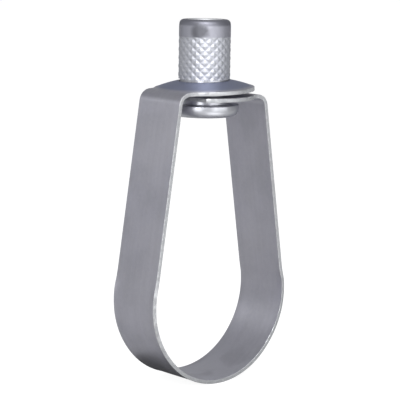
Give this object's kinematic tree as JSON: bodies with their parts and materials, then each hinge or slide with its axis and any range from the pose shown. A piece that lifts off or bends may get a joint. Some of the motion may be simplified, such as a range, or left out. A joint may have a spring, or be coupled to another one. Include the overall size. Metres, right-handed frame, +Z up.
{
  "type": "swivel ring hanger",
  "caption": "Adjustable swivel ring hanger: a folded steel strip ring for a pipe, with a knurled, threaded nut standing in its eyes, on which the ring turns.",
  "frame": {"origin": "middle of the nut's thread, on its axis, which is also the axis that the ring swivels about", "axes": "+Z up along the rod, +Y along the pipe, +X in the plane of the ring, towards the leg that carries the lower flap"},
  "size_m": [0.0538, 0.0308, 0.1119],
  "materials": {
    "galvanised_strip": "pre-galvanised steel strip, dull grey with a fine rolled grain",
    "zinc_plated_nut": "turned and knurled steel with bright blue zinc plating"
  },
  "bodies": {
    "nut": {"swivel_nut": "zinc_plated_nut"},
    "ring": {"ring_band": "galvanised_strip"}
  },
  "joints": [
    {"name": "ring_swivel", "type": "hinge", "parent": "nut", "child": "ring", "pos_m": [0, 0, 0], "axis": [0, 0, 1], "continuous": true}
  ]
}
